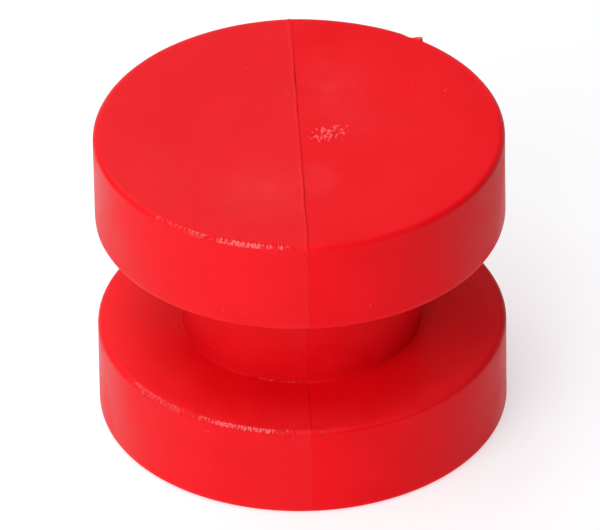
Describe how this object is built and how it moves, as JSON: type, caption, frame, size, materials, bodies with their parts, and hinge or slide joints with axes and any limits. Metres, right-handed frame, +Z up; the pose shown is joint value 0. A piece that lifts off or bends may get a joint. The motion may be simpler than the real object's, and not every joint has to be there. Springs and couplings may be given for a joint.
{
  "type": "diabolo",
  "caption": "Small spool-shaped diabolo: thick round discs on a fat string hub, moulded as half shells round a weighted steel core.",
  "frame": {"origin": "on the spin axis, in the plane of the base rim that the diabolo stands on", "axes": "+Z up along the spin axis, +X square to the seam towards the right half shell, +Y along the seam plane away from the viewer"},
  "size_m": [0.06, 0.06, 0.047],
  "materials": {
    "red_plastic": "semi-matte, fine moulded texture",
    "rod_steel": "turned, threaded at the ends",
    "tube_aluminium": "drawn",
    "weight_iron": "machined faces",
    "zinc_plate": "zinc plated"
  },
  "bodies": {
    "root": {"left_half_shell": "red_plastic", "right_half_shell": "red_plastic", "axle_rod": "rod_steel", "spacer_tube": "tube_aluminium", "upper_weight_disc": "weight_iron", "lower_weight_disc": "weight_iron", "upper_washer": "zinc_plate", "lower_washer": "zinc_plate", "upper_nut": "zinc_plate", "lower_nut": "zinc_plate"}
  },
  "joints": []
}
